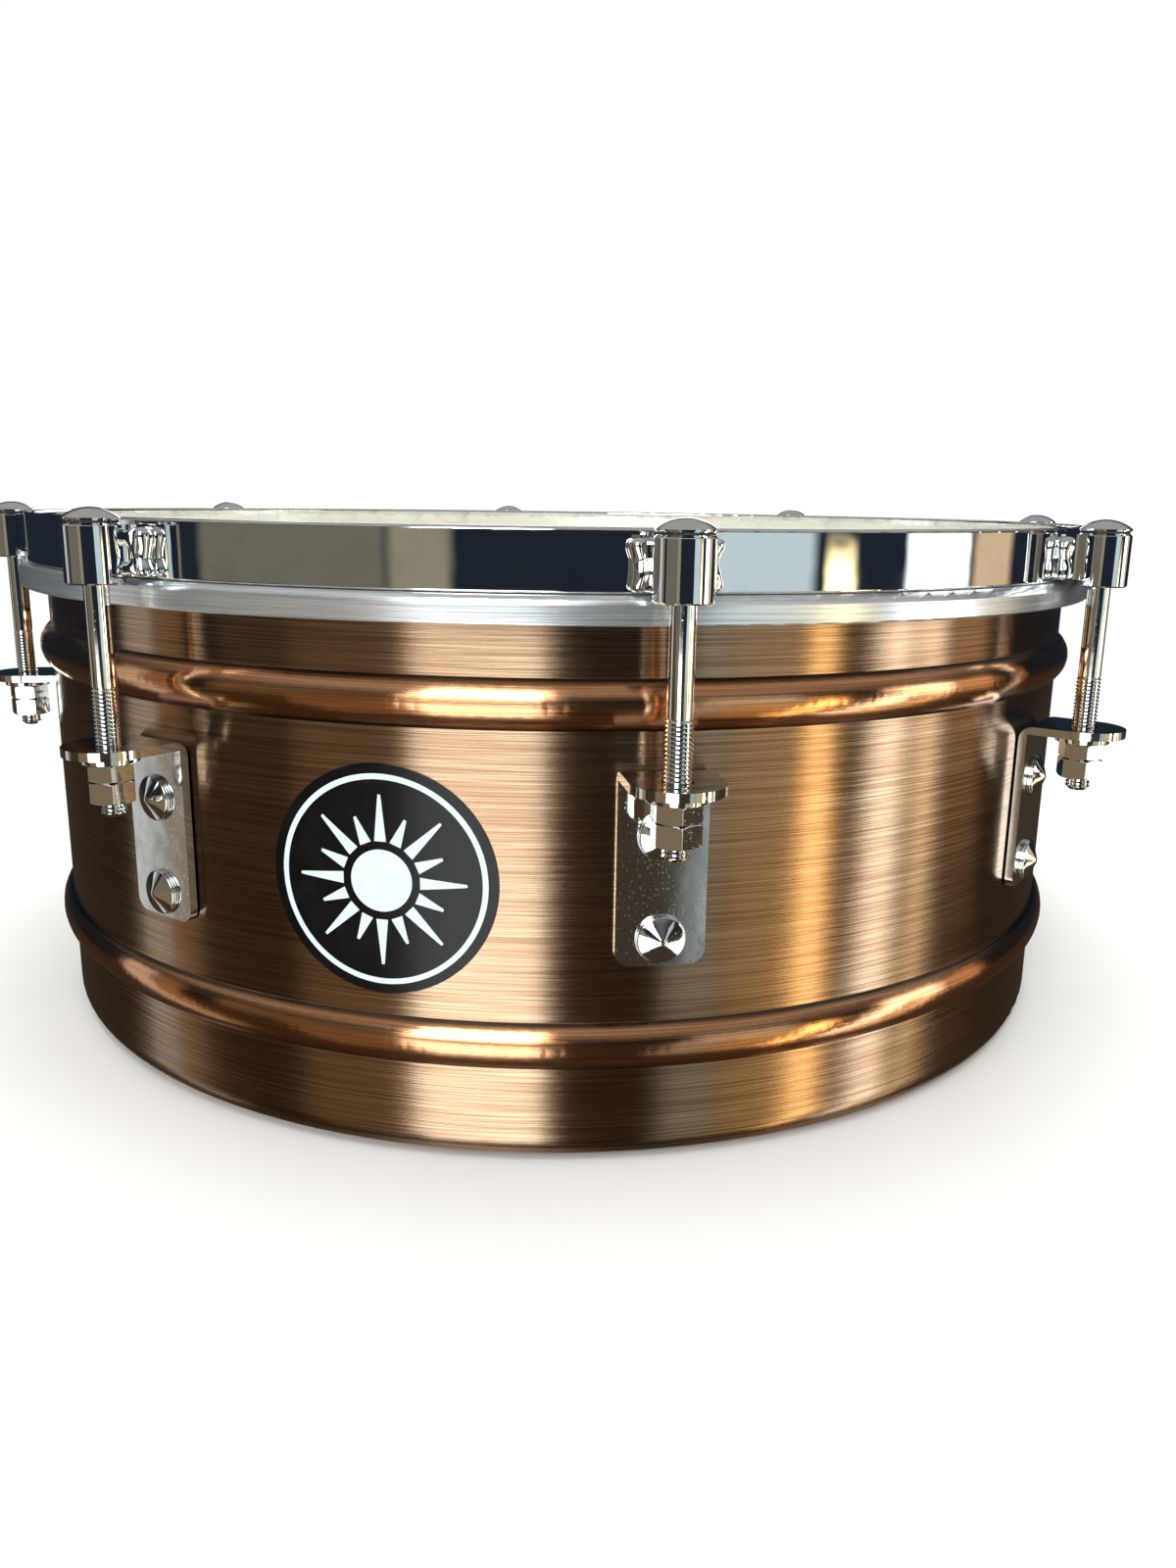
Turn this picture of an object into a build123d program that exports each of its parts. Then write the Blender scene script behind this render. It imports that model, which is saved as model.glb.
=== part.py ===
"""A single-headed metal drum tuned by eight rods and nuts.

The origin is the centre of the bottom rim, on the surface the drum stands on.
+Z runs up the drum's axis. Lug 1 is on the -Y side, and the lugs are numbered
anticlockwise seen from above. Millimetres.
"""
import os
from math import asin, atan2, cos, hypot, radians, sin

from build123d import *

# ---- driving dimensions ----

# shell
shell_r = 177.8              # outside of the plain wall: a 14 inch shell
shell_wall = 1.2
bearing_z = 155.1            # top of the bearing edge
bearing_turn_r = 2.6         # outside radius of the turned-in top
bearing_lip = 3.0            # straight end of the turned-in top, at 45 degrees
roll_r = 6.5                 # outside radius of the rolled bottom corner
rim_lip = 3.4                # flat width of the bottom rim
bead_depth = 3.5
bead_half_height = 6.1
bead_blend_r = 1.0
lower_bead_z = 32.9
upper_bead_z = 120.9

# head
film_thick = 0.3
film_gap = 0.05
film_bend_r = 0.8
flesh_inner_r = 178.9
flesh_outer_r = 185.4
flesh_bottom_z = 140.3
flesh_top_z = 147.3
flesh_corner_r = 2.2
film_slot_z = 144.1
film_slot_depth = 4.6

# counter hoop and its ears
hoop_outer_r = 182.9
hoop_wall = 3.0
hoop_bottom_z = 147.5
hoop_top_z = 162.5
hoop_top_edge_r = 0.9
hoop_bottom_edge_r = 0.6
lug_count = 8
lug_circle_r = 193.0
ear_r = 7.2
ear_bottom_z = 146.4
ear_top_z = 161.4
ear_chamfer = 0.8
weld_bottom_z = 148.3
weld_top_z = 160.9
weld_half_width = 12.0       # where the weld meets the hoop

# tension rods
rod_shank_r = 3.1
rod_thread_r = 3.35
thread_pitch = 1.0583        # 24 threads to the inch
thread_depth = 0.5
thread_top_z = 120.9
rod_tip_z = 86.8
rod_tip_chamfer = 0.6
dome_r = 7.1
dome_rim = 0.6
dome_height = 3.2
neck_side = 6.6              # square neck that stops the rod turning
neck_length = 3.0
collar_r = 6.5
collar_thick = 0.5
collar_hole_r = 4.8
bore_gap = 0.25

# lug brackets
plate_half_width = 11.5
plate_thick = 2.3
plate_bottom_z = 55.4
plate_corner_r = 4.0
shelf_top_z = 105.6
shelf_nose_r = 11.6
bend_outer_r = 4.0
bend_inner_r = 1.6
shelf_hole_r = 3.8
plate_gap = 0.05             # between the shell and the back of the plate

# nuts and washers on the rods
rod_washer_r = 7.5
rod_washer_thick = 2.2
nut_flats = 11.1
nut_turn = 29                # degrees that each nut stands turned on its rod
tension_nut_thick = 4.7
lock_nut_thick = 5.8
nut_chamfer = 0.5
nut_seat_gap = 0.05
running_gap = 0.05

# bracket bolts
bolt_heights = (62.5, 89.0)
bolt_r = 2.5
bolt_head_r = 6.1
bolt_head_height = 2.9
bolt_head_rim = 0.5
bolt_tip_r = 2.5             # ball at the tip of the cone-shaped head
bolt_neck_side = 5.2
bolt_hole_gap = 0.3
face_washer_r = 6.4
face_washer_thick = 0.8
back_washer_r = 6.0
back_washer_thick = 1.0
back_nut_flats = 8.0
back_nut_thick = 4.0
bolt_end_y = -170.4

# badge
badge_angle = -22.5          # half way between lug 1 and lug 8
badge_z = 75.2
badge_r = 30.0
badge_thick = 0.3

# ---- places worked out from them ----

hoop_inner_r = hoop_outer_r - hoop_wall
shell_inner_r = shell_r - shell_wall
dome_base_z = ear_top_z + collar_thick
shelf_bottom_z = shelf_top_z - plate_thick
rod_washer_bottom_z = shelf_bottom_z - rod_washer_thick
tension_nut_top_z = rod_washer_bottom_z - nut_seat_gap
tension_nut_bottom_z = tension_nut_top_z - tension_nut_thick
lock_nut_bottom_z = tension_nut_bottom_z - lock_nut_thick
plate_back_y = -(shell_r + plate_gap)
plate_front_y = plate_back_y - plate_thick
head_seat_y = plate_front_y - face_washer_thick
back_washer_seat_y = -(shell_inner_r - 0.15)
back_nut_seat_y = back_washer_seat_y + back_washer_thick
lug_step = 360 / lug_count
rod_plane = Plane.XZ.offset(lug_circle_r)
rod_axis = Axis((0, -lug_circle_r, 0), (0, 0, 1))
drum_axis = Axis.Z


def save(part, name):
    """Label a finished piece and write it as its own node."""
    part.label = name
    export_step(part, f"parts/{name}.step")


def save_at_each_lug(master, name):
    """Write one node for each lug, turned round the drum from the piece at lug 1."""
    for number in range(lug_count):
        with BuildPart() as placed:
            add(master, rotation=(0, 0, number * lug_step))
        save(placed.part, f"{name}_{number + 1}")


def is_bead_corner(vertex):
    """True at the four corners where each bead leaves the plain wall."""
    for bead_z in (lower_bead_z, upper_bead_z):
        if abs(abs(vertex.Z - bead_z) - bead_half_height) < shell_wall:
            return True
    return False


os.makedirs("parts", exist_ok=True)

# ---- shell: one sheet, beaded, rolled in at the bottom, turned in at the top ----

half_wall = shell_wall / 2
wall_r = shell_r - half_wall
roll_path_r = roll_r - half_wall
turn_path_r = bearing_turn_r - half_wall
turn_centre_r = shell_r - bearing_turn_r
turn_centre_z = bearing_z - bearing_turn_r

with BuildPart() as shell:
    with BuildSketch(Plane.XZ) as shell_section:
        with BuildLine():
            roll_start_r = shell_r - roll_r
            Line((roll_start_r - rim_lip, half_wall), (roll_start_r, half_wall))
            TangentArc((roll_start_r, half_wall), (wall_r, roll_r), tangent=(1, 0))
            height = roll_r
            for bead_z in (lower_bead_z, upper_bead_z):
                Line((wall_r, height), (wall_r, bead_z - bead_half_height))
                ThreePointArc(
                    (wall_r, bead_z - bead_half_height),
                    (wall_r + bead_depth, bead_z),
                    (wall_r, bead_z + bead_half_height),
                )
                height = bead_z + bead_half_height
            Line((wall_r, height), (wall_r, turn_centre_z))
            turn_end = (
                turn_centre_r - turn_path_r * cos(radians(45)),
                turn_centre_z + turn_path_r * sin(radians(45)),
            )
            ThreePointArc(
                (wall_r, turn_centre_z),
                (
                    turn_centre_r + turn_path_r * cos(radians(70)),
                    turn_centre_z + turn_path_r * sin(radians(70)),
                ),
                turn_end,
            )
            lip_step = bearing_lip * cos(radians(45))
            Line(turn_end, (turn_end[0] - lip_step, turn_end[1] - lip_step))
        trace(line_width=shell_wall)
        fillet(shell_section.vertices().filter_by(is_bead_corner), radius=bead_blend_r)
    revolve(axis=drum_axis)
    with PolarLocations(radius=0, count=lug_count):
        with Locations([(0, -wall_r, z) for z in bolt_heights]):
            Cylinder(
                radius=bolt_r + bolt_hole_gap,
                height=4 * shell_wall,
                rotation=(90, 0, 0),
                mode=Mode.SUBTRACT,
            )
save(shell.part, "shell")

# ---- head: film over the bearing edge, gripped in the flesh hoop ----

film_path_z = bearing_z + film_gap + film_thick / 2
film_path_r = shell_r + film_gap + film_thick / 2
film_turn_r = bearing_turn_r + film_gap + film_thick / 2

with BuildPart() as head_film:
    with BuildSketch(Plane.XZ):
        with BuildLine():
            Line((0, film_path_z), (turn_centre_r, film_path_z))
            TangentArc((turn_centre_r, film_path_z), (film_path_r, turn_centre_z), tangent=(1, 0))
            FilletPolyline(
                (film_path_r, turn_centre_z),
                (film_path_r, film_slot_z),
                (flesh_inner_r + film_slot_depth - film_gap, film_slot_z),
                radius=film_bend_r,
            )
        trace(line_width=film_thick)
        with Locations((-shell_r, film_path_z)):
            Rectangle(2 * shell_r, 2 * shell_r, mode=Mode.SUBTRACT)
    revolve(axis=drum_axis)
save(head_film.part, "head_film")

with BuildPart() as flesh_hoop:
    with BuildSketch(Plane.XZ) as flesh_section:
        with Locations((flesh_inner_r, flesh_bottom_z)):
            Rectangle(
                flesh_outer_r - flesh_inner_r,
                flesh_top_z - flesh_bottom_z,
                align=(Align.MIN, Align.MIN),
            )
        outer_corners = flesh_section.vertices().group_by(Axis.X)[-1].sort_by(Axis.Y)
        fillet(outer_corners[-1], radius=flesh_corner_r)
        fillet(flesh_section.vertices().group_by(Axis.Y)[0], radius=0.5)
        with Locations((flesh_inner_r, film_slot_z)):
            Rectangle(2 * film_slot_depth, film_thick + 2 * film_gap, mode=Mode.SUBTRACT)
    revolve(axis=drum_axis)
save(flesh_hoop.part, "flesh_hoop")

# ---- counter hoop, and the ears welded round it ----

with BuildPart() as counter_hoop:
    with BuildSketch(Plane.XZ) as hoop_section:
        with Locations((hoop_inner_r, hoop_bottom_z)):
            Rectangle(hoop_wall, hoop_top_z - hoop_bottom_z, align=(Align.MIN, Align.MIN))
        fillet(hoop_section.vertices().group_by(Axis.Y)[-1], radius=hoop_top_edge_r)
        fillet(hoop_section.vertices().group_by(Axis.Y)[0], radius=hoop_bottom_edge_r)
    revolve(axis=drum_axis)
save(counter_hoop.part, "counter_hoop")

with BuildPart() as ear:
    with BuildSketch(Plane.XY.offset(ear_bottom_z)):
        with Locations((0, -lug_circle_r)):
            Circle(ear_r)
    extrude(amount=ear_top_z - ear_bottom_z)
    chamfer(ear.edges().group_by(Axis.Z)[-1], length=ear_chamfer)
    chamfer(ear.edges().group_by(Axis.Z)[0], length=ear_chamfer / 2)
    with BuildSketch(Plane.XY.offset(weld_bottom_z)):
        with BuildLine():
            weld_root_y = -(hoop_outer_r - 1.0)
            weld_tip_y = -(lug_circle_r - 2.2)
            weld_tip_x = ear_r - 0.5
            weld_bow = 0.7
            Line((-weld_half_width, weld_root_y), (weld_half_width, weld_root_y))
            ThreePointArc(
                (weld_half_width, weld_root_y),
                (weld_tip_x + weld_bow, weld_root_y - 3.2),
                (weld_tip_x, weld_tip_y),
            )
            Line((weld_tip_x, weld_tip_y), (-weld_tip_x, weld_tip_y))
            ThreePointArc(
                (-weld_tip_x, weld_tip_y),
                (-weld_tip_x - weld_bow, weld_root_y - 3.2),
                (-weld_half_width, weld_root_y),
            )
        make_face()
    extrude(amount=weld_top_z - weld_bottom_z)
    with Locations((0, 0, (ear_bottom_z + ear_top_z) / 2)):
        Cylinder(radius=hoop_outer_r, height=4 * ear_r, mode=Mode.SUBTRACT)
    with Locations((0, -lug_circle_r, (ear_bottom_z + ear_top_z) / 2)):
        Cylinder(radius=rod_shank_r + bore_gap, height=4 * ear_r, mode=Mode.SUBTRACT)
    with Locations((0, -lug_circle_r, ear_top_z)):
        Box(
            neck_side + 2 * bore_gap,
            neck_side + 2 * bore_gap,
            2 * (neck_length + bore_gap),
            mode=Mode.SUBTRACT,
        )
with BuildPart() as hoop_ears:
    with PolarLocations(radius=0, count=lug_count):
        add(ear.part)
save(hoop_ears.part, "hoop_ears")

# ---- tension rods: domed head, square neck, plain shank, threaded end ----

thread_turns = int((thread_top_z - rod_tip_z - rod_tip_chamfer) / thread_pitch)
thread_root_r = rod_thread_r - thread_depth

rod_outline = [(0, rod_tip_z), (thread_root_r - rod_tip_chamfer, rod_tip_z)]
for turn in range(thread_turns):
    root_z = rod_tip_z + rod_tip_chamfer + turn * thread_pitch
    crest_z = root_z + thread_pitch / 2
    rod_outline.append((thread_root_r, root_z))
    rod_outline.append((rod_thread_r, crest_z - 0.08))
    rod_outline.append((rod_thread_r, crest_z + 0.08))
thread_end_z = rod_tip_z + rod_tip_chamfer + thread_turns * thread_pitch
rod_outline.append((thread_root_r, thread_end_z))
rod_outline.append((rod_shank_r, thread_end_z + 0.4))
rod_outline.append((rod_shank_r, dome_base_z))
rod_outline.append((dome_r - 0.3, dome_base_z))
rod_outline.append((dome_r, dome_base_z + 0.3))
rod_outline.append((dome_r, dome_base_z + dome_rim))

with BuildPart() as rod:
    with BuildSketch(rod_plane):
        with BuildLine():
            Polyline(rod_outline)
            dome_top = (0, dome_base_z + dome_height)
            TangentArc(dome_top, (dome_r, dome_base_z + dome_rim), tangent=(1, 0))
            Line(dome_top, (0, rod_tip_z))
        make_face()
    revolve(axis=rod_axis)
    with Locations((0, -lug_circle_r, dome_base_z - neck_length / 2)):
        Box(neck_side, neck_side, neck_length)
save_at_each_lug(rod.part, "tension_rod")

with BuildPart() as collars:
    with BuildSketch(Plane.XY.offset(ear_top_z)):
        with PolarLocations(radius=lug_circle_r, count=lug_count):
            Circle(collar_r)
            Circle(collar_hole_r, mode=Mode.SUBTRACT)
    extrude(amount=collar_thick)
save(collars.part, "rod_collars")

# ---- lug brackets: a plate against the shell, bent out to a round-nosed shelf ----

with BuildPart() as bracket:
    with BuildSketch(Plane.YZ) as bracket_section:
        with BuildLine():
            Polyline(
                (plate_back_y, plate_bottom_z),
                (plate_back_y, shelf_top_z),
                (-lug_circle_r, shelf_top_z),
                (-lug_circle_r, shelf_bottom_z),
                (plate_front_y, shelf_bottom_z),
                (plate_front_y, plate_bottom_z),
                close=True,
            )
        make_face()
        bend_corners = bracket_section.vertices().filter_by(
            lambda corner: corner.X > -lug_circle_r + 1 and corner.Y > plate_bottom_z + 1
        )
        fillet(bend_corners.sort_by(Axis.Y)[-1], radius=bend_outer_r)
        fillet(bend_corners.sort_by(Axis.Y)[0], radius=bend_inner_r)
    extrude(amount=plate_half_width, both=True)
    with BuildSketch(Plane.XY.offset(shelf_bottom_z)):
        with Locations((0, -lug_circle_r)):
            Circle(shelf_nose_r)
    extrude(amount=plate_thick)
    plate_corners = bracket.edges().filter_by(Axis.Y).group_by(Axis.Z)[0]
    fillet(plate_corners, radius=plate_corner_r)
    with Locations((0, -lug_circle_r, shelf_bottom_z)):
        Cylinder(radius=shelf_hole_r, height=4 * plate_thick, mode=Mode.SUBTRACT)
    with Locations([(0, plate_front_y, z) for z in bolt_heights]):
        hole_side = bolt_neck_side + 2 * bolt_hole_gap
        Box(hole_side, 4 * plate_thick, hole_side, mode=Mode.SUBTRACT)
save_at_each_lug(bracket.part, "lug_bracket")

# ---- carriage bolts that hold the brackets, with a washer each side and a nut inside ----

with BuildPart() as bolt:
    with BuildSketch(Plane.XY):
        with BuildLine():
            rim_y = head_seat_y - bolt_head_rim
            top_y = head_seat_y - bolt_head_height
            # the cone runs from the rim and meets the ball at its tip without a corner
            ball_depth = top_y + bolt_tip_r - rim_y
            slope = asin(bolt_tip_r / hypot(bolt_head_r, ball_depth)) - atan2(ball_depth, bolt_head_r)
            tip_edge = (bolt_tip_r * sin(slope), top_y + bolt_tip_r * (1 - cos(slope)))
            Polyline(
                (0, top_y),
                (0, bolt_end_y),
                (bolt_r - 0.5, bolt_end_y),
                (bolt_r, bolt_end_y - 0.5),
                (bolt_r, head_seat_y),
                (bolt_head_r, head_seat_y),
                (bolt_head_r, rim_y),
            )
            Line((bolt_head_r, rim_y), tip_edge)
            TangentArc((0, top_y), tip_edge, tangent=(1, 0))
        make_face()
    revolve(axis=Axis.Y)
    with Locations((0, head_seat_y + plate_thick / 2, 0)):
        Box(bolt_neck_side, plate_thick, bolt_neck_side)
with BuildPart() as bracket_bolts:
    with PolarLocations(radius=0, count=lug_count):
        with Locations([(0, 0, z) for z in bolt_heights]):
            add(bolt.part)
save(bracket_bolts.part, "bracket_bolts")

with BuildPart() as face_washers:
    with PolarLocations(radius=0, count=lug_count):
        with Locations([(0, plate_front_y - face_washer_thick / 2, z) for z in bolt_heights]):
            Cylinder(radius=face_washer_r, height=face_washer_thick, rotation=(90, 0, 0))
            Cylinder(
                radius=bolt_neck_side * 0.75,
                height=2 * face_washer_thick,
                rotation=(90, 0, 0),
                mode=Mode.SUBTRACT,
            )
save(face_washers.part, "bracket_face_washers")

with BuildPart() as back_washers:
    with PolarLocations(radius=0, count=lug_count):
        with Locations([(0, back_washer_seat_y + back_washer_thick / 2, z) for z in bolt_heights]):
            Cylinder(radius=back_washer_r, height=back_washer_thick, rotation=(90, 0, 0))
            Cylinder(
                radius=bolt_r + bolt_hole_gap,
                height=2 * back_washer_thick,
                rotation=(90, 0, 0),
                mode=Mode.SUBTRACT,
            )
save(back_washers.part, "bracket_back_washers")

with BuildPart() as back_nut:
    with BuildSketch(Plane.XZ.offset(-back_nut_seat_y)):
        RegularPolygon(radius=back_nut_flats / 2, side_count=6, major_radius=False)
        Circle(bolt_r + running_gap, mode=Mode.SUBTRACT)
    extrude(amount=-back_nut_thick)
with BuildPart() as back_nuts:
    with PolarLocations(radius=0, count=lug_count):
        with Locations([(0, 0, z) for z in bolt_heights]):
            add(back_nut.part)
save(back_nuts.part, "bracket_back_nuts")

# ---- washer, tuning nut and lock nut below each shelf ----

with BuildPart() as rod_washers:
    with BuildSketch(Plane.XY.offset(rod_washer_bottom_z)):
        with PolarLocations(radius=lug_circle_r, count=lug_count):
            Circle(rod_washer_r)
            Circle(shelf_hole_r, mode=Mode.SUBTRACT)
    extrude(amount=rod_washer_thick)
save(rod_washers.part, "rod_washers")


def hex_nut(bottom_z, thick):
    """A chamfered hexagon nut on the rod of lug 1."""
    corner_r = nut_flats / 2 / cos(radians(30))
    cone_r = corner_r - 2 * nut_chamfer
    with BuildPart() as nut:
        with BuildSketch(Plane.XY.offset(bottom_z)):
            with Locations((0, -lug_circle_r)):
                RegularPolygon(radius=corner_r, side_count=6, rotation=nut_turn)
        extrude(amount=thick)
        with BuildSketch(rod_plane):
            with BuildLine():
                Polyline(
                    (0, bottom_z),
                    (cone_r, bottom_z),
                    (corner_r, bottom_z + nut_chamfer),
                    (corner_r, bottom_z + thick - nut_chamfer),
                    (cone_r, bottom_z + thick),
                    (0, bottom_z + thick),
                    close=True,
                )
            make_face()
        revolve(axis=rod_axis, mode=Mode.INTERSECT)
        with Locations((0, -lug_circle_r, bottom_z)):
            Cylinder(radius=rod_thread_r + running_gap, height=4 * thick, mode=Mode.SUBTRACT)
    return nut.part


save_at_each_lug(hex_nut(tension_nut_bottom_z, tension_nut_thick), "tension_nut")
save_at_each_lug(hex_nut(lock_nut_bottom_z, lock_nut_thick), "lock_nut")

# ---- round badge on the shell ----

badge_face = Plane(
    origin=(
        shell_r * sin(radians(badge_angle)),
        -shell_r * cos(radians(badge_angle)),
        badge_z,
    ),
    z_dir=(sin(radians(badge_angle)), -cos(radians(badge_angle)), 0),
)
with BuildPart() as badge:
    with Locations((0, 0, badge_z)):
        Cylinder(radius=shell_r + badge_thick, height=3 * badge_r)
        Cylinder(radius=shell_r, height=3 * badge_r, mode=Mode.SUBTRACT)
    with Locations(badge_face):
        Cylinder(radius=badge_r, height=badge_r, mode=Mode.INTERSECT)
save(badge.part, "badge")
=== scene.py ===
# %% [markdown]
# # A single-headed metal drum with nut-tuned rods
#
# The drum is a brushed, antiqued copper shell with two rolled beads, a cream head, a satin
# aluminium flesh hoop and a chromed counter hoop. Eight rods pull the hoop down, and nuts under
# L-shaped brackets hold them. The frame gives every piece its place and size, so this lesson is
# about surfaces: what each metal looks like and why, and the small shapes that a lathe or a
# welder leaves behind.

# %% Load the frame
import math

import bmesh
import bpy
from mathutils import Matrix, Vector, noise


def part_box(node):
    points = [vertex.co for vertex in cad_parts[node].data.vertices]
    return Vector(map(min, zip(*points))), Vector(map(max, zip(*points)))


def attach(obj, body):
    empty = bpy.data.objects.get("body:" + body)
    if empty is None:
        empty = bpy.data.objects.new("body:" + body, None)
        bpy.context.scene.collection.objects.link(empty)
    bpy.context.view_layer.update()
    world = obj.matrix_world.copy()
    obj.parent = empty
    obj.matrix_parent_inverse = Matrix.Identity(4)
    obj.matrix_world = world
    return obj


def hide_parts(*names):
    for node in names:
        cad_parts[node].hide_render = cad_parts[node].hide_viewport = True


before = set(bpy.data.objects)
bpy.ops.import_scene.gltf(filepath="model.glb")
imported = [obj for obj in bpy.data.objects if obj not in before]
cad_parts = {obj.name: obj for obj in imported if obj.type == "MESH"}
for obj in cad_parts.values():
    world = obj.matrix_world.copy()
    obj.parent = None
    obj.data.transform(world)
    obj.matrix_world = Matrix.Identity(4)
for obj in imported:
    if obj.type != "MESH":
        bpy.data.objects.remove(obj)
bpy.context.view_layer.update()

# %% [markdown]
# ## Measures read from the frame
#
# Everything that is added later sits on something that is already there, so its place comes from
# the boxes of those pieces. They could be typed in again as numbers, but then a change to the
# drum would leave the new pieces behind.

# %% Read the measures
LUGS = 8
BEAD_RISE = 0.0035
lug_step = 2 * math.pi / LUGS
rod_low, rod_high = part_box("tension_rod_1")
ear_low, ear_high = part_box("hoop_ears")
hoop_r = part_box("counter_hoop")[1].x
shell_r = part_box("shell")[1].x - BEAD_RISE
lug_r = -(rod_low.y + rod_high.y) / 2
print("hoop radius", round(hoop_r, 4), "lug circle", round(lug_r, 4))

# %% [markdown]
# ## Helpers for shader nodes
#
# A material is a small graph. Writing each node and link out in full hides what the graph does,
# so three short helpers make a node, set its sockets and return it. The Principled shader always
# stays in the material itself; only values and normals come from groups.

# %% Helpers for shader nodes
MIX_FACTOR, MIX_FIRST, MIX_SECOND, MIX_RESULT = 0, 6, 7, 2


def put(tree, kind, inputs=None, **settings):
    """Add a node, set its properties, and set or link its inputs by name or number."""
    node = tree.nodes.new(kind)
    for name, value in settings.items():
        setattr(node, name, value)
    for name, value in (inputs or {}).items():
        if isinstance(value, bpy.types.NodeSocket):
            tree.links.new(value, node.inputs[name])
        else:
            node.inputs[name].default_value = value
    return node


def calc(tree, operation, a, b=0.0, clamp=False):
    """A Math node's result."""
    return put(tree, "ShaderNodeMath", {0: a, 1: b}, operation=operation, use_clamp=clamp).outputs[0]


def spread(tree, value, low, high, to_low=0.0, to_high=1.0):
    """Map a value from one range to another, smoothly, and hold it at the ends."""
    node = put(
        tree,
        "ShaderNodeMapRange",
        {"Value": value, "From Min": low, "From Max": high, "To Min": to_low, "To Max": to_high},
        interpolation_type="SMOOTHSTEP",
    )
    return node.outputs["Result"]


def blend_colours(tree, factor, first, second, mode="MIX"):
    """Mix two colours, each a socket or a plain RGBA value."""
    parts = {MIX_FACTOR: factor, MIX_FIRST: first, MIX_SECOND: second}
    return put(tree, "ShaderNodeMix", parts, data_type="RGBA", blend_type=mode).outputs[MIX_RESULT]


def plain_noise(tree, place, scale, detail):
    """An even noise, the same in every direction."""
    return put(
        tree, "ShaderNodeTexNoise", {"Vector": place, "Scale": scale, "Detail": detail}
    ).outputs["Fac"]


def bump(tree, height, strength, distance, **more):
    """A Bump node's normal, for a height map that stands that far out of the surface."""
    values = {"Height": height, "Strength": strength, "Distance": distance, **more}
    return put(tree, "ShaderNodeBump", values).outputs["Normal"]


def new_group(name, inputs, outputs):
    """A shader node group with named sockets; inputs and outputs are (name, kind, value)."""
    group = bpy.data.node_groups.new(name, "ShaderNodeTree")
    for socket_name, kind, value in inputs:
        socket = group.interface.new_socket(name=socket_name, in_out="INPUT", socket_type=kind)
        socket.default_value = value
    for socket_name, kind in outputs:
        group.interface.new_socket(name=socket_name, in_out="OUTPUT", socket_type=kind)
    return group, group.nodes.new("NodeGroupInput"), group.nodes.new("NodeGroupOutput")


def new_material(name, colour, **values):
    """A material with a Principled shader; values set its sockets directly."""
    material = bpy.data.materials.new(name)
    material.use_nodes = True
    tree = material.node_tree
    tree.nodes.clear()
    shader = put(tree, "ShaderNodeBsdfPrincipled", {"Base Color": colour})
    for socket_name, value in values.items():
        shader.inputs[socket_name.replace("_", " ")].default_value = value
    put(tree, "ShaderNodeOutputMaterial", {"Surface": shader.outputs[0]})
    return material, tree, shader


# %% [markdown]
# ## Brushed grain
#
# Sheet metal that turns against an abrasive belt keeps thousands of fine scratches that run
# round it. Each is far longer than it is wide. An image could hold them, but a noise that is
# squeezed along Z does it at any size: the object's own coordinates are multiplied by a small
# number round the drum and by a large one up it. Two such noises, a fine and a coarse one, keep
# the streaks from looking combed.

# %% Build the grain group
FLOAT = "NodeSocketFloat"
VECTOR = "NodeSocketVector"
FINE_HEIGHT = 0.0002

grain_group, grain_in, grain_out = new_group(
    "brushed_grain",
    [("Along", FLOAT, 40.0), ("Across", FLOAT, 3000.0), ("Depth", FLOAT, 0.2)],
    [("Streaks", FLOAT), ("Cloud", FLOAT), ("Normal", VECTOR)],
)
place = put(grain_group, "ShaderNodeTexCoord").outputs["Object"]


def squeezed_noise(tree, along, across, detail, offset):
    """Noise whose cells are long round the drum and thin up it."""
    scale = put(tree, "ShaderNodeCombineXYZ", {0: along, 1: along, 2: across}).outputs[0]
    moved = put(tree, "ShaderNodeVectorMath", {0: place, 1: scale}, operation="MULTIPLY").outputs[0]
    shifted = put(tree, "ShaderNodeVectorMath", {0: moved, 1: (offset,) * 3}, operation="ADD")
    return put(
        tree, "ShaderNodeTexNoise", {"Vector": shifted.outputs[0], "Scale": 1.0, "Detail": detail}
    ).outputs["Fac"]


fine = squeezed_noise(grain_group, grain_in.outputs["Along"], grain_in.outputs["Across"], 2.0, 3.1)
coarse_across = calc(grain_group, "MULTIPLY", grain_in.outputs["Across"], 0.35)
coarse_along = calc(grain_group, "MULTIPLY", grain_in.outputs["Along"], 0.5)
coarse = squeezed_noise(grain_group, coarse_along, coarse_across, 3.0, 17.7)
fine_part = calc(grain_group, "MULTIPLY", fine, 0.7)
coarse_part = calc(grain_group, "MULTIPLY", coarse, 0.3)
mixed = calc(grain_group, "ADD", fine_part, coarse_part)
scratched = bump(grain_group, mixed, grain_in.outputs["Depth"], FINE_HEIGHT)
grain_group.links.new(spread(grain_group, mixed, 0.36, 0.64), grain_out.inputs["Streaks"])
grain_group.links.new(plain_noise(grain_group, place, 14.0, 3.0), grain_out.inputs["Cloud"])
grain_group.links.new(scratched, grain_out.inputs["Normal"])


def use_group(tree, group, **values):
    """Place a group in a material and set its inputs."""
    node = tree.nodes.new("ShaderNodeGroup")
    node.node_tree = group
    for name, value in values.items():
        node.inputs[name.replace("_", " ")].default_value = value
    return node


# %% [markdown]
# ## Handled polish
#
# Chrome is never perfectly even: the metal below it was buffed by hand, so it has a slow ripple
# and a few tiny pits, and fingers leave faint smears that are a little rougher and darker than
# the rest. This group gives all of them, as a roughness, a shade mask and a normal, and each
# plated piece asks for its own amounts.

# %% Build the polish group
RIPPLE_HEIGHT = 0.0004

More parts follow.
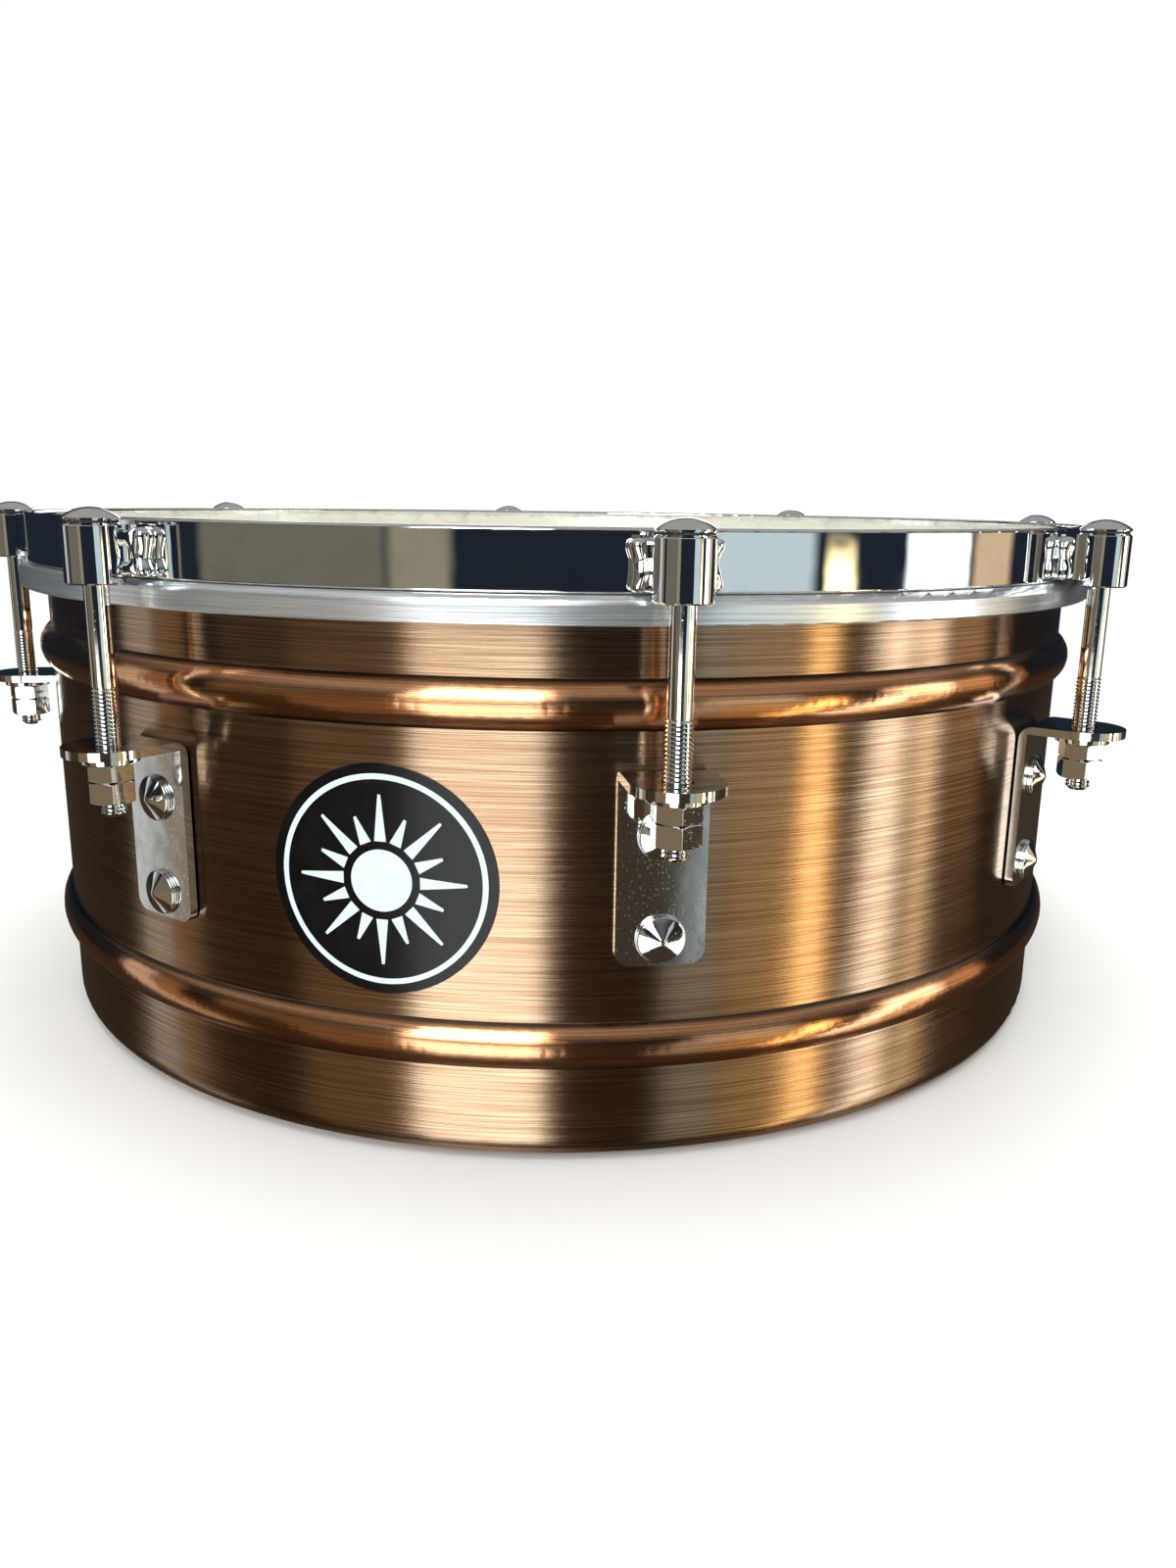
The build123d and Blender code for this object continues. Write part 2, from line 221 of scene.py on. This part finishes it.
polish_group, polish_in, polish_out = new_group(
    "handled_polish",
    [("Roughness", FLOAT, 0.04), ("Smears", FLOAT, 0.06), ("Ripple", FLOAT, 0.1), ("Pits", FLOAT, 0.0)],
    [("Roughness", FLOAT), ("Shade", FLOAT), ("Normal", VECTOR)],
)
place = put(polish_group, "ShaderNodeTexCoord").outputs["Object"]
smear = put(
    polish_group, "ShaderNodeTexNoise", {"Vector": place, "Scale": 60.0, "Detail": 4.0, "Distortion": 1.2}
).outputs["Fac"]
smear_mask = spread(polish_group, smear, 0.48, 0.72)
smeared = calc(polish_group, "MULTIPLY", smear_mask, polish_in.outputs["Smears"])
rough = calc(polish_group, "ADD", polish_in.outputs["Roughness"], smeared)
wave = plain_noise(polish_group, place, 130.0, 1.0)
pit_mask = spread(polish_group, plain_noise(polish_group, place, 1400.0, 2.0), 0.62, 0.76)
rippled = bump(polish_group, wave, polish_in.outputs["Ripple"], RIPPLE_HEIGHT)
pitted = bump(polish_group, pit_mask, polish_in.outputs["Pits"], FINE_HEIGHT, Normal=rippled)
polish_group.links.new(rough, polish_out.inputs["Roughness"])
polish_group.links.new(smear_mask, polish_out.inputs["Shade"])
polish_group.links.new(pitted, polish_out.inputs["Normal"])
print("shader groups:", grain_group.name, "and", polish_group.name)

# %% [markdown]
# ## Antiqued copper
#
# The shell is copper that was darkened and then brushed back. The plain wall keeps brown in its
# scratches, the raised beads come out brighter and more orange because the belt rubs them
# hardest, and the creases beside them stay nearly black because it never reaches in. How far a
# point is from the drum's axis tells wall, crease, bead and inside apart, so no mask has to be
# painted. Brushed metal blurs a reflection across its scratches and keeps it sharp along them.
# The Radial tangent runs round the drum, and a quarter turn of the anisotropic rotation sends
# the blur up and down the wall.

# %% Find wall, bead, crease and inside
QUARTER_TURN = 0.25
BEAD_BAND = (0.0004, 0.0018)
OFF_WALL_BAND = (0.00004, 0.00016)
INSIDE_BAND = (-0.0008, -0.0004)


def turn_round_drum(tree, shader):
    """Lay the shader's tangent round the drum's axis."""
    tangent = put(tree, "ShaderNodeTangent", direction_type="RADIAL", axis="Z").outputs[0]
    tree.links.new(tangent, shader.inputs["Tangent"])


copper, tree, shader = new_material(
    "antiqued_copper",
    (0.42, 0.27, 0.19, 1),
    Metallic=1.0,
    Roughness=0.22,
    Anisotropic=0.95,
    Anisotropic_Rotation=QUARTER_TURN,
    Coat_Weight=0.25,
    Coat_Roughness=0.06,
)
place = put(tree, "ShaderNodeTexCoord").outputs["Object"]
split = put(tree, "ShaderNodeSeparateXYZ", {0: place})
level = put(tree, "ShaderNodeCombineXYZ", {0: split.outputs[0], 1: split.outputs[1], 2: 0.0}).outputs[0]
flat_radius = put(tree, "ShaderNodeVectorMath", {0: level}, operation="LENGTH").outputs["Value"]
on_bead = spread(tree, flat_radius, shell_r + BEAD_BAND[0], shell_r + BEAD_BAND[1])
off_wall = spread(tree, flat_radius, shell_r + OFF_WALL_BAND[0], shell_r + OFF_WALL_BAND[1])
crease = calc(tree, "MULTIPLY", off_wall, calc(tree, "SUBTRACT", 1.0, on_bead))
inside = spread(tree, flat_radius, shell_r + INSIDE_BAND[0], shell_r + INSIDE_BAND[1], 1.0, 0.0)

# %% Colour and finish of the copper
WALL_ROUGH = 0.20
BEAD_ROUGH = 0.16
INSIDE_ROUGHER = 0.22
grain = use_group(tree, grain_group, Along=24.0, Across=4200.0, Depth=0.22)
streaks = grain.outputs["Streaks"]
wall = blend_colours(tree, streaks, (0.270, 0.150, 0.080, 1), (0.540, 0.380, 0.250, 1))
patina = spread(tree, grain.outputs["Cloud"], 0.38, 0.72, 0.0, 0.30)
aged = blend_colours(tree, patina, wall, (0.30, 0.155, 0.085, 1))
bead = blend_colours(tree, streaks, (0.61, 0.260, 0.105, 1), (0.84, 0.460, 0.250, 1))
outer = blend_colours(tree, on_bead, aged, bead)
edged = blend_colours(tree, calc(tree, "MULTIPLY", crease, 0.82), outer, (0.035, 0.020, 0.012, 1))
bare = blend_colours(tree, streaks, (0.22, 0.125, 0.075, 1), (0.34, 0.205, 0.130, 1))
tree.links.new(blend_colours(tree, inside, edged, bare), shader.inputs["Base Color"])
outer_rough = spread(tree, on_bead, 0.0, 1.0, WALL_ROUGH, BEAD_ROUGH)
inside_rough = calc(tree, "MULTIPLY", inside, INSIDE_ROUGHER)
tree.links.new(calc(tree, "ADD", outer_rough, inside_rough), shader.inputs["Roughness"])
tree.links.new(grain.outputs["Normal"], shader.inputs["Normal"])
turn_round_drum(tree, shader)
print("copper has", len(tree.nodes), "nodes")

# %% [markdown]
# ## Chrome, aluminium and zinc
#
# The three bright metals differ mostly in how they scatter light. Chrome is a mirror, cleanest on
# the hoop and more handled on rods and brackets. The flesh hoop is turned aluminium with a soft
# grain, and the nuts inside the shell are only zinc plated, which is duller.

# %% Make the bright metals
SMEAR_SHADE = 0.9


def polished(name, colour, roughness, smears, ripple, pits):
    """A mirror-like plated metal with handling marks."""
    material, tree, shader = new_material(name, colour, Metallic=1.0)
    finish = use_group(tree, polish_group, Roughness=roughness, Smears=smears, Ripple=ripple, Pits=pits)
    shade = [channel * SMEAR_SHADE for channel in colour[:3]] + [1]
    tinted = blend_colours(tree, finish.outputs["Shade"], colour, shade)
    tree.links.new(tinted, shader.inputs["Base Color"])
    tree.links.new(finish.outputs["Roughness"], shader.inputs["Roughness"])
    tree.links.new(finish.outputs["Normal"], shader.inputs["Normal"])
    return material


hoop_chrome = polished("hoop_chrome", (0.84, 0.85, 0.86, 1), 0.02, 0.03, 0.05, 0.0)
rod_chrome = polished("rod_chrome", (0.82, 0.82, 0.81, 1), 0.05, 0.05, 0.06, 0.03)
bracket_chrome = polished("bracket_chrome", (0.80, 0.81, 0.80, 1), 0.06, 0.06, 0.07, 0.05)
zinc = polished("zinc_plate", (0.66, 0.68, 0.70, 1), 0.28, 0.12, 0.2, 0.3)

aluminium, tree, shader = new_material(
    "satin_aluminium",
    (0.9, 0.92, 0.93, 1),
    Metallic=0.88,
    Roughness=0.24,
    Anisotropic=0.2,
    Anisotropic_Rotation=QUARTER_TURN,
)
grain = use_group(tree, grain_group, Along=30.0, Across=2600.0, Depth=0.16)
tint = blend_colours(tree, grain.outputs["Streaks"], (0.66, 0.70, 0.73, 1), (0.93, 0.95, 0.96, 1))
tree.links.new(tint, shader.inputs["Base Color"])
tree.links.new(grain.outputs["Normal"], shader.inputs["Normal"])
turn_round_drum(tree, shader)
print("bright metals:", hoop_chrome.name, rod_chrome.name, bracket_chrome.name, zinc.name, aluminium.name)

# %% [markdown]
# ## The head, the collars and the badge
#
# The head is polyester film with a sprayed cream coat, a fine matt tooth that catches light like
# paper. The collars are black fibre, dull and pitted. The badge is printed vinyl: nearly smooth,
# with a thin gloss.

# %% Make the plain materials
head_coat, tree, shader = new_material(
    "cream_coating", (0.78, 0.72, 0.54, 1), Roughness=0.55, Subsurface_Weight=0.15
)
place = put(tree, "ShaderNodeTexCoord").outputs["Object"]
tooth = plain_noise(tree, place, 1800.0, 3.0)
mottle = plain_noise(tree, place, 22.0, 5.0)
coat = blend_colours(tree, spread(tree, mottle, 0.35, 0.7), (0.76, 0.70, 0.52, 1), (0.81, 0.76, 0.59, 1))
tree.links.new(coat, shader.inputs["Base Color"])
tree.links.new(spread(tree, tooth, 0.3, 0.7, 0.5, 0.66), shader.inputs["Roughness"])
tree.links.new(bump(tree, tooth, 0.25, FINE_HEIGHT), shader.inputs["Normal"])


def flecked(name, dark, light, scale, rough_low, rough_high, depth, **values):
    """A non-metal whose colour, gloss and height all follow one small-grained noise."""
    material, tree, shader = new_material(name, dark, **values)
    place = put(tree, "ShaderNodeTexCoord").outputs["Object"]
    fleck = plain_noise(tree, place, scale, 4.0)
    tone = blend_colours(tree, spread(tree, fleck, 0.42, 0.68), dark, light)
    tree.links.new(tone, shader.inputs["Base Color"])
    tree.links.new(spread(tree, fleck, 0.3, 0.7, rough_low, rough_high), shader.inputs["Roughness"])
    tree.links.new(bump(tree, fleck, depth, FINE_HEIGHT), shader.inputs["Normal"])
    return material


fibre = flecked("black_fibre", (0.012, 0.012, 0.012, 1), (0.05, 0.045, 0.04, 1), 900.0, 0.55, 0.8, 0.4)
vinyl = flecked(
    "black_vinyl",
    (0.003, 0.003, 0.004, 1),
    (0.005, 0.005, 0.006, 1),
    180.0,
    0.20,
    0.23,
    0.015,
    Specular_IOR_Level=0.25,
)
white_ink = flecked("white_ink", (0.68, 0.80, 0.87, 1), (0.71, 0.83, 0.89, 1), 200.0, 0.30, 0.34, 0.015)
print("plain materials:", head_coat.name, fibre.name, vinyl.name, white_ink.name)

# %% [markdown]
# ## Dress the frame's own pieces
#
# These shapes are right as they are, so each only takes a better material in its slot.

# %% Assign materials
FINISHES = {
    "shell": copper,
    "head_film": head_coat,
    "flesh_hoop": aluminium,
    "counter_hoop": hoop_chrome,
    "hoop_ears": hoop_chrome,
    "rod_collars": fibre,
    "bracket_bolts": rod_chrome,
    "bracket_face_washers": rod_chrome,
    "bracket_back_washers": zinc,
    "bracket_back_nuts": zinc,
    "rod_washers": rod_chrome,
    "badge": vinyl,
    "tension_rod": rod_chrome,
    "tension_nut": rod_chrome,
    "lock_nut": rod_chrome,
    "lug_bracket": bracket_chrome,
}


def dress(name, piece):
    """Give a frame piece the finish for its kind; numbered copies share one."""
    kind = name.rstrip("0123456789").rstrip("_")
    piece.data.materials.clear()
    piece.data.materials.append(FINISHES[kind])


for name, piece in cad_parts.items():
    dress(name, piece)
print("dressed", len(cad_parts), "pieces")

# %% [markdown]
# ## Edges that catch the light
#
# A stamped bracket or a turned nut has no truly sharp edge: tumbling and plating round it, and
# that thin round is the bright line that draws its outline. A bevel shader would only pretend
# at render time. Here each piece is copied from the frame, its flat faces are joined up again,
# its edges are cut with a small round, and the copy stands in for the original.

# %% Helpers for rounded copies
SHARP = math.radians(28)
CREASED = math.radians(50)
FLAT = math.radians(0.6)
SAME_POINT = 0.000004


def finished_mesh(name, shape):
    """Turn a working shape into a mesh and let the working shape go."""
    mesh = bpy.data.meshes.new(name)
    shape.to_mesh(mesh)
    shape.free()
    return mesh


def link_piece(name, mesh, body, material):
    """Put a new mesh in the scene as a piece that rides on a body."""
    mesh.materials.clear()
    mesh.materials.append(material)
    piece = bpy.data.objects.new(name, mesh)
    bpy.context.scene.collection.objects.link(piece)
    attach(piece, body)
    return piece


def soften(node, body, width, steps, beyond=0.0):
    """Replace a frame piece by a copy whose sharp edges are rounded by that width.

    Only edges that lie further than beyond from the drum's axis are rounded.
    """
    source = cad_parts[node]
    shape = bmesh.new()
    shape.from_mesh(source.data)
    bmesh.ops.remove_doubles(shape, verts=shape.verts, dist=SAME_POINT)
    bmesh.ops.dissolve_limit(
        shape, angle_limit=FLAT, verts=shape.verts, edges=shape.edges, delimit={"NORMAL"}
    )
    sharp = [
        edge
        for edge in shape.edges
        if len(edge.link_faces) == 2
        and edge.calc_face_angle(0.0) > SHARP
        and min(vert.co.xy.length for vert in edge.verts) > beyond
    ]
    bmesh.ops.bevel(
        shape, geom=sharp, offset=width, segments=steps, profile=0.5, affect="EDGES", clamp_overlap=True
    )
    for face in shape.faces:
        face.smooth = True
    for edge in shape.edges:
        if len(edge.link_faces) == 2:
            edge.smooth = edge.calc_face_angle(0.0) < CREASED
    mesh = finished_mesh(node + "_rounded", shape)
    piece = link_piece(node + "_rounded", mesh, body, source.data.materials[0])
    even = piece.modifiers.new("even_shading", "WEIGHTED_NORMAL")
    even.keep_sharp = True
    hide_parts(node)


# %% Round the edges of brackets, nuts, washers and bolt heads
BRACKET_ROUND = 0.0008
NUT_ROUND = 0.00022
HEAD_ROUND = 0.0003
THIN_ROUND = 0.0002
HEAD_CONE = 0.0026

for number in range(1, LUGS + 1):
    soften(f"lug_bracket_{number}", "drum", BRACKET_ROUND, 3)
    soften(f"tension_nut_{number}", f"nut_pair_{number}", NUT_ROUND, 2)
    soften(f"lock_nut_{number}", f"nut_pair_{number}", NUT_ROUND, 2)

bolt_tip = -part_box("bracket_bolts")[0].y
soften("bracket_bolts", "drum", HEAD_ROUND, 3, beyond=bolt_tip - HEAD_CONE)
soften("bracket_face_washers", "drum", THIN_ROUND, 2)
soften("rod_washers", "drum", HEAD_ROUND, 2)
print("rounded", 3 * LUGS + 3, "pieces")

# %% [markdown]
# ## Weld beads
#
# Each ear is welded to the hoop before plating, and the chrome follows whatever the welder left:
# a fat soft bead with a shallow crater where the arc was lifted away. A smooth fillet looks like
# a casting, so each bead is a closed column whose radius swells and pinches on its way up, with a
# dent on its outer side and a little noise on top. The noise is a fixed function of place, so every
# run gives the same beads.

# %% The weld bead's own measures
EAR_R = ear_high.x - lug_r
WELD_R = 0.0025
WELD_ASIDE = 0.0013
WELD_PROUD = 0.0020
WELD_FOOT_GAP = 0.0016
WELD_HEAD_GAP = 0.0010
WELD_RINGS = 40
WELD_SIDES = 28
BLOBS = 1.6
BLOB_SWELL = 0.16
CRATER = 0.24
CRATER_PLACE = 0.58
CRATER_WIDTH = 0.17
SWAY = 0.0005
LUMP = 0.09
LUMPS_PER_METRE = 240
END_REACH = 0.12
print("ear radius", round(EAR_R, 4), "and weld radius", WELD_R)


# %% Lay the weld beads
def weld_column(shape, number, side):
    """Add one lumpy column between an ear and the hoop; side is -1 or 1."""
    turn = Matrix.Rotation(number * lug_step, 3, "Z")
    bottom = ear_low.z + WELD_FOOT_GAP
    top = ear_high.z - WELD_HEAD_GAP
    rings = []
    for ring in range(WELD_RINGS + 1):
        part = ring / WELD_RINGS
        wave = abs(math.sin(math.pi * (part * BLOBS + 0.2 * number)))
        swell = 1 - BLOB_SWELL + BLOB_SWELL * wave
        dent = CRATER * math.exp(-(((part - CRATER_PLACE + 0.03 * side) / CRATER_WIDTH) ** 2))
        cap = math.sqrt(max(0.0, 1 - abs(2 * part - 1) ** 8))
        aside = side * (EAR_R + WELD_ASIDE) + SWAY * math.sin(7 * part + number + side)
        centre = Vector((aside, -(hoop_r + WELD_PROUD), bottom + part * (top - bottom)))
        verts = []
        for step in range(WELD_SIDES):
            out = 2 * math.pi * step / WELD_SIDES
            away = Vector((math.cos(out), math.sin(out), 0))
            outward = Vector((0.5 * side, -0.87, 0)).dot(away)
            spot = (centre + away * 0.002) * LUMPS_PER_METRE + Vector((number * 3, side, 0))
            rough = 1 + LUMP * noise.noise(spot)
            rough -= dent * max(0.0, outward) ** 3
            reach = WELD_R * (END_REACH + (1 - END_REACH) * cap) * swell * rough
            verts.append(shape.verts.new(turn @ (centre + away * reach)))
        rings.append(verts)
    for low_ring, high_ring in zip(rings, rings[1:]):
        for step in range(WELD_SIDES):
            after = (step + 1) % WELD_SIDES
            shape.faces.new((low_ring[step], low_ring[after], high_ring[after], high_ring[step]))
    shape.faces.new(list(reversed(rings[0])))
    shape.faces.new(rings[-1])


for number in range(LUGS):
    shape = bmesh.new()
    weld_column(shape, number, -1)
    weld_column(shape, number, 1)
    for face in shape.faces:
        face.smooth = True
    mesh = finished_mesh(f"weld_beads_{number + 1}", shape)
    link_piece(f"weld_beads_{number + 1}", mesh, "hoop", hoop_chrome)
print("welded", LUGS, "ears")

# %% [markdown]
# ## The badge's print
#
# The badge is black vinyl with a pale ring and a device inside it. The device here is a plain
# sunburst, which belongs to nobody. A print could be a mask in the material, but its edge would
# then be only as crisp as the baked image, so the ink is real: thin closed slabs, drawn flat and
# wrapped round the shell.

# %% Helpers for ink on a curved face
badge_low, badge_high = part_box("badge")
VINYL_THICK = 0.0003
BADGE_TURN = -math.pi / LUGS
BADGE_Z = (badge_low.z + badge_high.z) / 2
BADGE_R = (badge_high.z - badge_low.z) / 2
BADGE_FACE = shell_r + VINYL_THICK
INK = 0.00008


def wrap(across, up, height):
    """A point drawn flat on the badge, bent round the shell."""
    angle = BADGE_TURN + across / shell_r
    radius = BADGE_FACE + height
    return Vector((radius * math.sin(angle), -radius * math.cos(angle), BADGE_Z + up))


def ink_patch(shape, rows):
    """Add a closed slab from rows of flat points; neighbouring rows are joined by quads."""
    top = [[shape.verts.new(wrap(a, b, INK)) for a, b in row] for row in rows]
    bottom = [[shape.verts.new(wrap(a, b, -INK)) for a, b in row] for row in rows]
    last_row = len(rows) - 1
    last = len(rows[0]) - 1
    for i in range(last_row):
        for j in range(last):
            shape.faces.new((top[i][j], top[i][j + 1], top[i + 1][j + 1], top[i + 1][j]))
            shape.faces.new((bottom[i][j], bottom[i + 1][j], bottom[i + 1][j + 1], bottom[i][j + 1]))
    for i in range(last_row):
        shape.faces.new((top[i][0], top[i + 1][0], bottom[i + 1][0], bottom[i][0]))
        shape.faces.new((top[i + 1][last], top[i][last], bottom[i][last], bottom[i + 1][last]))
    end_top, end_bottom = top[last_row], bottom[last_row]
    for j in range(last):
        shape.faces.new((top[0][j + 1], top[0][j], bottom[0][j], bottom[0][j + 1]))
        shape.faces.new((end_top[j], end_top[j + 1], end_bottom[j + 1], end_bottom[j]))


def arc_row(radius, start, end, steps):
    """Flat points along an arc, from one angle to another."""
    turns = [start + (end - start) * step / steps for step in range(steps + 1)]
    return [(radius * math.cos(turn), radius * math.sin(turn)) for turn in turns]


def ray_row(radius, half_width, turn):
    """Two flat points across a ray, that far out from the middle."""
    out = Vector((math.cos(turn), math.sin(turn)))
    side = Vector((-out.y, out.x))
    return [tuple(out * radius - side * half_width), tuple(out * radius + side * half_width)]


# %% Print the badge: a ring, a disc and rays, all in parts of the badge's radius
RING = (0.868, 0.892, 0.916)
DISC = (0.004, 0.09, 0.18, 0.27)
RAYS = 16
RAY_START = 0.34
RAY_ENDS = (0.74, 0.58)
RAY_STEPS = 6
RAY_HALF_WIDTH = 0.052
RAY_TAPER = 0.040

shape = bmesh.new()
ink_patch(shape, [arc_row(BADGE_R * part, 0, 2 * math.pi, 128) for part in RING])
ink_patch(shape, [arc_row(BADGE_R * part, 0, 2 * math.pi, 64) for part in DISC])
for ray in range(RAYS):
    turn = 2 * math.pi * ray / RAYS + math.pi / 2
    rows = []
    for step in range(RAY_STEPS + 1):
        part = step / RAY_STEPS
        radius = BADGE_R * (RAY_START + (RAY_ENDS[ray % 2] - RAY_START) * part)
        rows.append(ray_row(radius, BADGE_R * (RAY_HALF_WIDTH - RAY_TAPER * part), turn))
    ink_patch(shape, rows)
bmesh.ops.remove_doubles(shape, verts=shape.verts, dist=SAME_POINT / 2)
bmesh.ops.recalc_face_normals(shape, faces=shape.faces)
link_piece("badge_print", finished_mesh("badge_print", shape), "drum", white_ink)
print("badge radius", round(BADGE_R, 4), "with", RAYS, "rays")

# %% [markdown]
# ## Floor
#
# The floor is plain and pale. It takes the drum's soft shadow close by and fades to the same
# white as the background, so no horizon shows. Polished metal would mirror it and turn as flat
# as the floor is, so it is left out of reflections, as if the drum were up on a stand.

# %% Lay the floor
FLOOR_R = 6.0
FADE_START = 0.20
FADE_END = 0.48

shape = bmesh.new()
bmesh.ops.create_circle(shape, cap_ends=True, radius=FLOOR_R, segments=96)
floor_mesh = finished_mesh("floor", shape)
floor = bpy.data.objects.new("floor", floor_mesh)
floor.visible_glossy = False
floor.visible_shadow = False
bpy.context.scene.collection.objects.link(floor)
floor_paint, tree, shader = new_material("pale_floor", (0.88, 0.88, 0.87, 1), Roughness=0.9)
place = put(tree, "ShaderNodeTexCoord").outputs["Object"]
away = put(tree, "ShaderNodeVectorMath", {0: place}, operation="LENGTH").outputs["Value"]
white = put(tree, "ShaderNodeEmission", {"Color": (1, 1, 1, 1), "Strength": 1.0})
fade = spread(tree, away, FADE_START, FADE_END)
seen = calc(tree, "MULTIPLY", fade, put(tree, "ShaderNodeLightPath").outputs["Is Camera Ray"])
sweep = put(tree, "ShaderNodeMixShader", {0: seen, 1: shader.outputs[0], 2: white.outputs[0]})
surface = next(node for node in tree.nodes if node.type == "OUTPUT_MATERIAL")
tree.links.new(sweep.outputs[0], surface.inputs["Surface"])
floor_mesh.materials.append(floor_paint)
print("floor fades out between", FADE_START, "and", FADE_END, "m from the drum's axis")

# %% [markdown]
# ## Light
#
# Polished metal shows the room more than it shows itself, so the studio is a ring of soft panels
# with dark gaps between them. The key stands a little left of the eye. To its right come two dim
# fills, a narrow golden strip and the bright rim panels. To its left a faint glow keeps the wall
# from going black, and two narrow side panels light the bracket faces. One more stands behind,
# for views from there.
#
# The hoop mirrors what stands at eye height and the wall, seen from a little above, mirrors what
# is below that, so each panel also says how low and how high it reaches. That is why the key is
# in two parts, a low one for the wall and a high one for the beads, and why some dim panels
# stand at eye level only. Lamps could stand there, but the World can hold them all: the
# direction of a ray gives an angle round the drum and a height, and each panel is a soft-edged
# window in the two. Cycles samples it cleanly.

# %% The panels: (angle from the eye's side, half width, lowest, highest, strength, colour)
VIEW_TURN = math.radians(-8)
NEUTRAL = (0.95, 1.0, 1.0)
COOL = (0.82, 0.97, 1.0)
WARM = (1.0, 0.86, 0.55)
GOLD = (1.0, 0.80, 0.42)
AMBER = (1.0, 0.72, 0.42)
PANELS = {
    "key": (-17, 14, -45, -8, 3.1, NEUTRAL),
    "key_high": (-17, 14, 13, 46, 7.0, NEUTRAL),
    "glow_left": (-44, 13, -45, -7, 0.17, AMBER),
    "eye_level_left": (-27, 6, -6, 16, 0.28, WARM),
    "eye_level_far": (-54, 20, -6, 16, 0.15, WARM),
    "fill_near": (29, 6, -45, -7, 0.42, COOL),
    "fill_warm": (43, 7, -45, -7, 0.50, GOLD),
    "window_right": (39, 11, -7, 16, 0.70, COOL),
    "warm_strip": (56, 3, -45, -3, 4.6, GOLD),
    "rim_strip": (73, 4, -45, -6, 3.6, NEUTRAL),
    "rim_sliver": (85, 2, -45, -6, 2.2, WARM),
    "rim_window": (80, 8, -6, 16, 3.2, NEUTRAL),
    "amber_edge": (96, 6, -10, 16, 0.7, AMBER),
    "side_left": (-98, 5, -45, 16, 0.65, NEUTRAL),
    "side_left_warm": (-88, 4, -45, 16, 0.28, AMBER),
    "back": (180, 15, -45, 20, 1.8, NEUTRAL),
}
ROOM = (0.050, 0.036, 0.024, 1)
EYE_LEVEL = (0.014, 0.020, 0.030, 1)
CEILING = (0.38, 0.37, 0.36, 1)
SOFT_SIDE = 1.5
print("studio has", len(PANELS), "panels")


# %% Helpers for panels
def sine(degrees):
    """The height of a direction that far above the horizon."""
    return math.sin(math.radians(degrees))


def window(tree, turn, height, angle, half_width, lowest, highest):
    """A mask that is 1 inside a panel's angle and height and falls off softly at its edges."""
    beside = calc(tree, "SUBTRACT", turn, angle)
    wrapped = put(tree, "ShaderNodeMath", {0: beside, 1: 180.0, 2: -180.0}, operation="WRAP")
    aside = calc(tree, "ABSOLUTE", wrapped.outputs[0])
    across = spread(tree, aside, half_width - SOFT_SIDE, half_width + SOFT_SIDE, 1.0, 0.0)
    above = spread(tree, height, sine(lowest - 4), sine(lowest + 2))
    below = spread(tree, height, sine(highest - 1), sine(highest + 2), 1.0, 0.0)
    return calc(tree, "MULTIPLY", across, calc(tree, "MULTIPLY", above, below))


# %% Build the studio
world = bpy.data.worlds.new("studio")
bpy.context.scene.world = world
world.use_nodes = True
tree = world.node_tree
tree.nodes.clear()
toward = put(tree, "ShaderNodeTexCoord").outputs["Generated"]
turned = put(tree, "ShaderNodeVectorRotate", {"Vector": toward, "Angle": -VIEW_TURN}, rotation_type="Z_AXIS")
split = put(tree, "ShaderNodeSeparateXYZ", {0: turned.outputs[0]})
backward = calc(tree, "MULTIPLY", split.outputs[1], -1.0)
turn = calc(tree, "DEGREES", calc(tree, "ARCTAN2", split.outputs[0], backward))
height = split.outputs[2]
dark = blend_colours(tree, spread(tree, height, sine(-9), sine(-5)), ROOM, EYE_LEVEL)
sky = blend_colours(tree, spread(tree, height, sine(16), sine(42)), dark, CEILING)
for angle, half_width, lowest, highest, strength, colour in PANELS.values():
    mask = window(tree, turn, height, angle, half_width, lowest, highest)
    lit = tuple(channel * strength for channel in colour) + (1,)
    glow = blend_colours(tree, mask, (0, 0, 0, 1), lit)
    sky = blend_colours(tree, 1.0, sky, glow, "ADD")
white = put(tree, "ShaderNodeBackground", {"Color": (1, 1, 1, 1), "Strength": 1.0})
room = put(tree, "ShaderNodeBackground", {"Color": sky, "Strength": 1.0})
ray = put(tree, "ShaderNodeLightPath").outputs["Is Camera Ray"]
both = put(tree, "ShaderNodeMixShader", {0: ray, 1: room.outputs[0], 2: white.outputs[0]})
put(tree, "ShaderNodeOutputWorld", {"Surface": both.outputs[0]})
print("world has", len(tree.nodes), "nodes")

# %% A wide lamp overhead lights the floor and the head, and stays out of reflections
LAMP_SIZE = 2.6
LAMP_POWER = 62
LAMP_HEIGHT = 2.2
top_lamp = bpy.data.lights.new("overhead", "AREA")
top_lamp.size = LAMP_SIZE
top_lamp.energy = LAMP_POWER
overhead = bpy.data.objects.new("overhead", top_lamp)
overhead.location = (0, 0, LAMP_HEIGHT)
overhead.visible_camera = False
overhead.visible_glossy = False
bpy.context.scene.collection.objects.link(overhead)
print("overhead lamp of", LAMP_POWER, "W at", LAMP_HEIGHT, "m")

# %% Plain display colours, so that white stays white
bpy.context.scene.view_settings.view_transform = "Standard"

# %% Camera: close, just above the hoop's height, with a wide lens
EYE_PLACE = (-0.06498, -0.45162, 0.16840)
EYE_TURN = (76.541, -0.811, -9.464)
eye = bpy.data.cameras.new("eye")
eye.lens = 27.25
eye.sensor_width = 36
camera = bpy.data.objects.new("eye", eye)
camera.location = EYE_PLACE
camera.rotation_euler = [math.radians(turn) for turn in EYE_TURN]
bpy.context.scene.collection.objects.link(camera)
bpy.context.scene.camera = camera
print("eye at", EYE_PLACE, "with a", eye.lens, "mm lens")
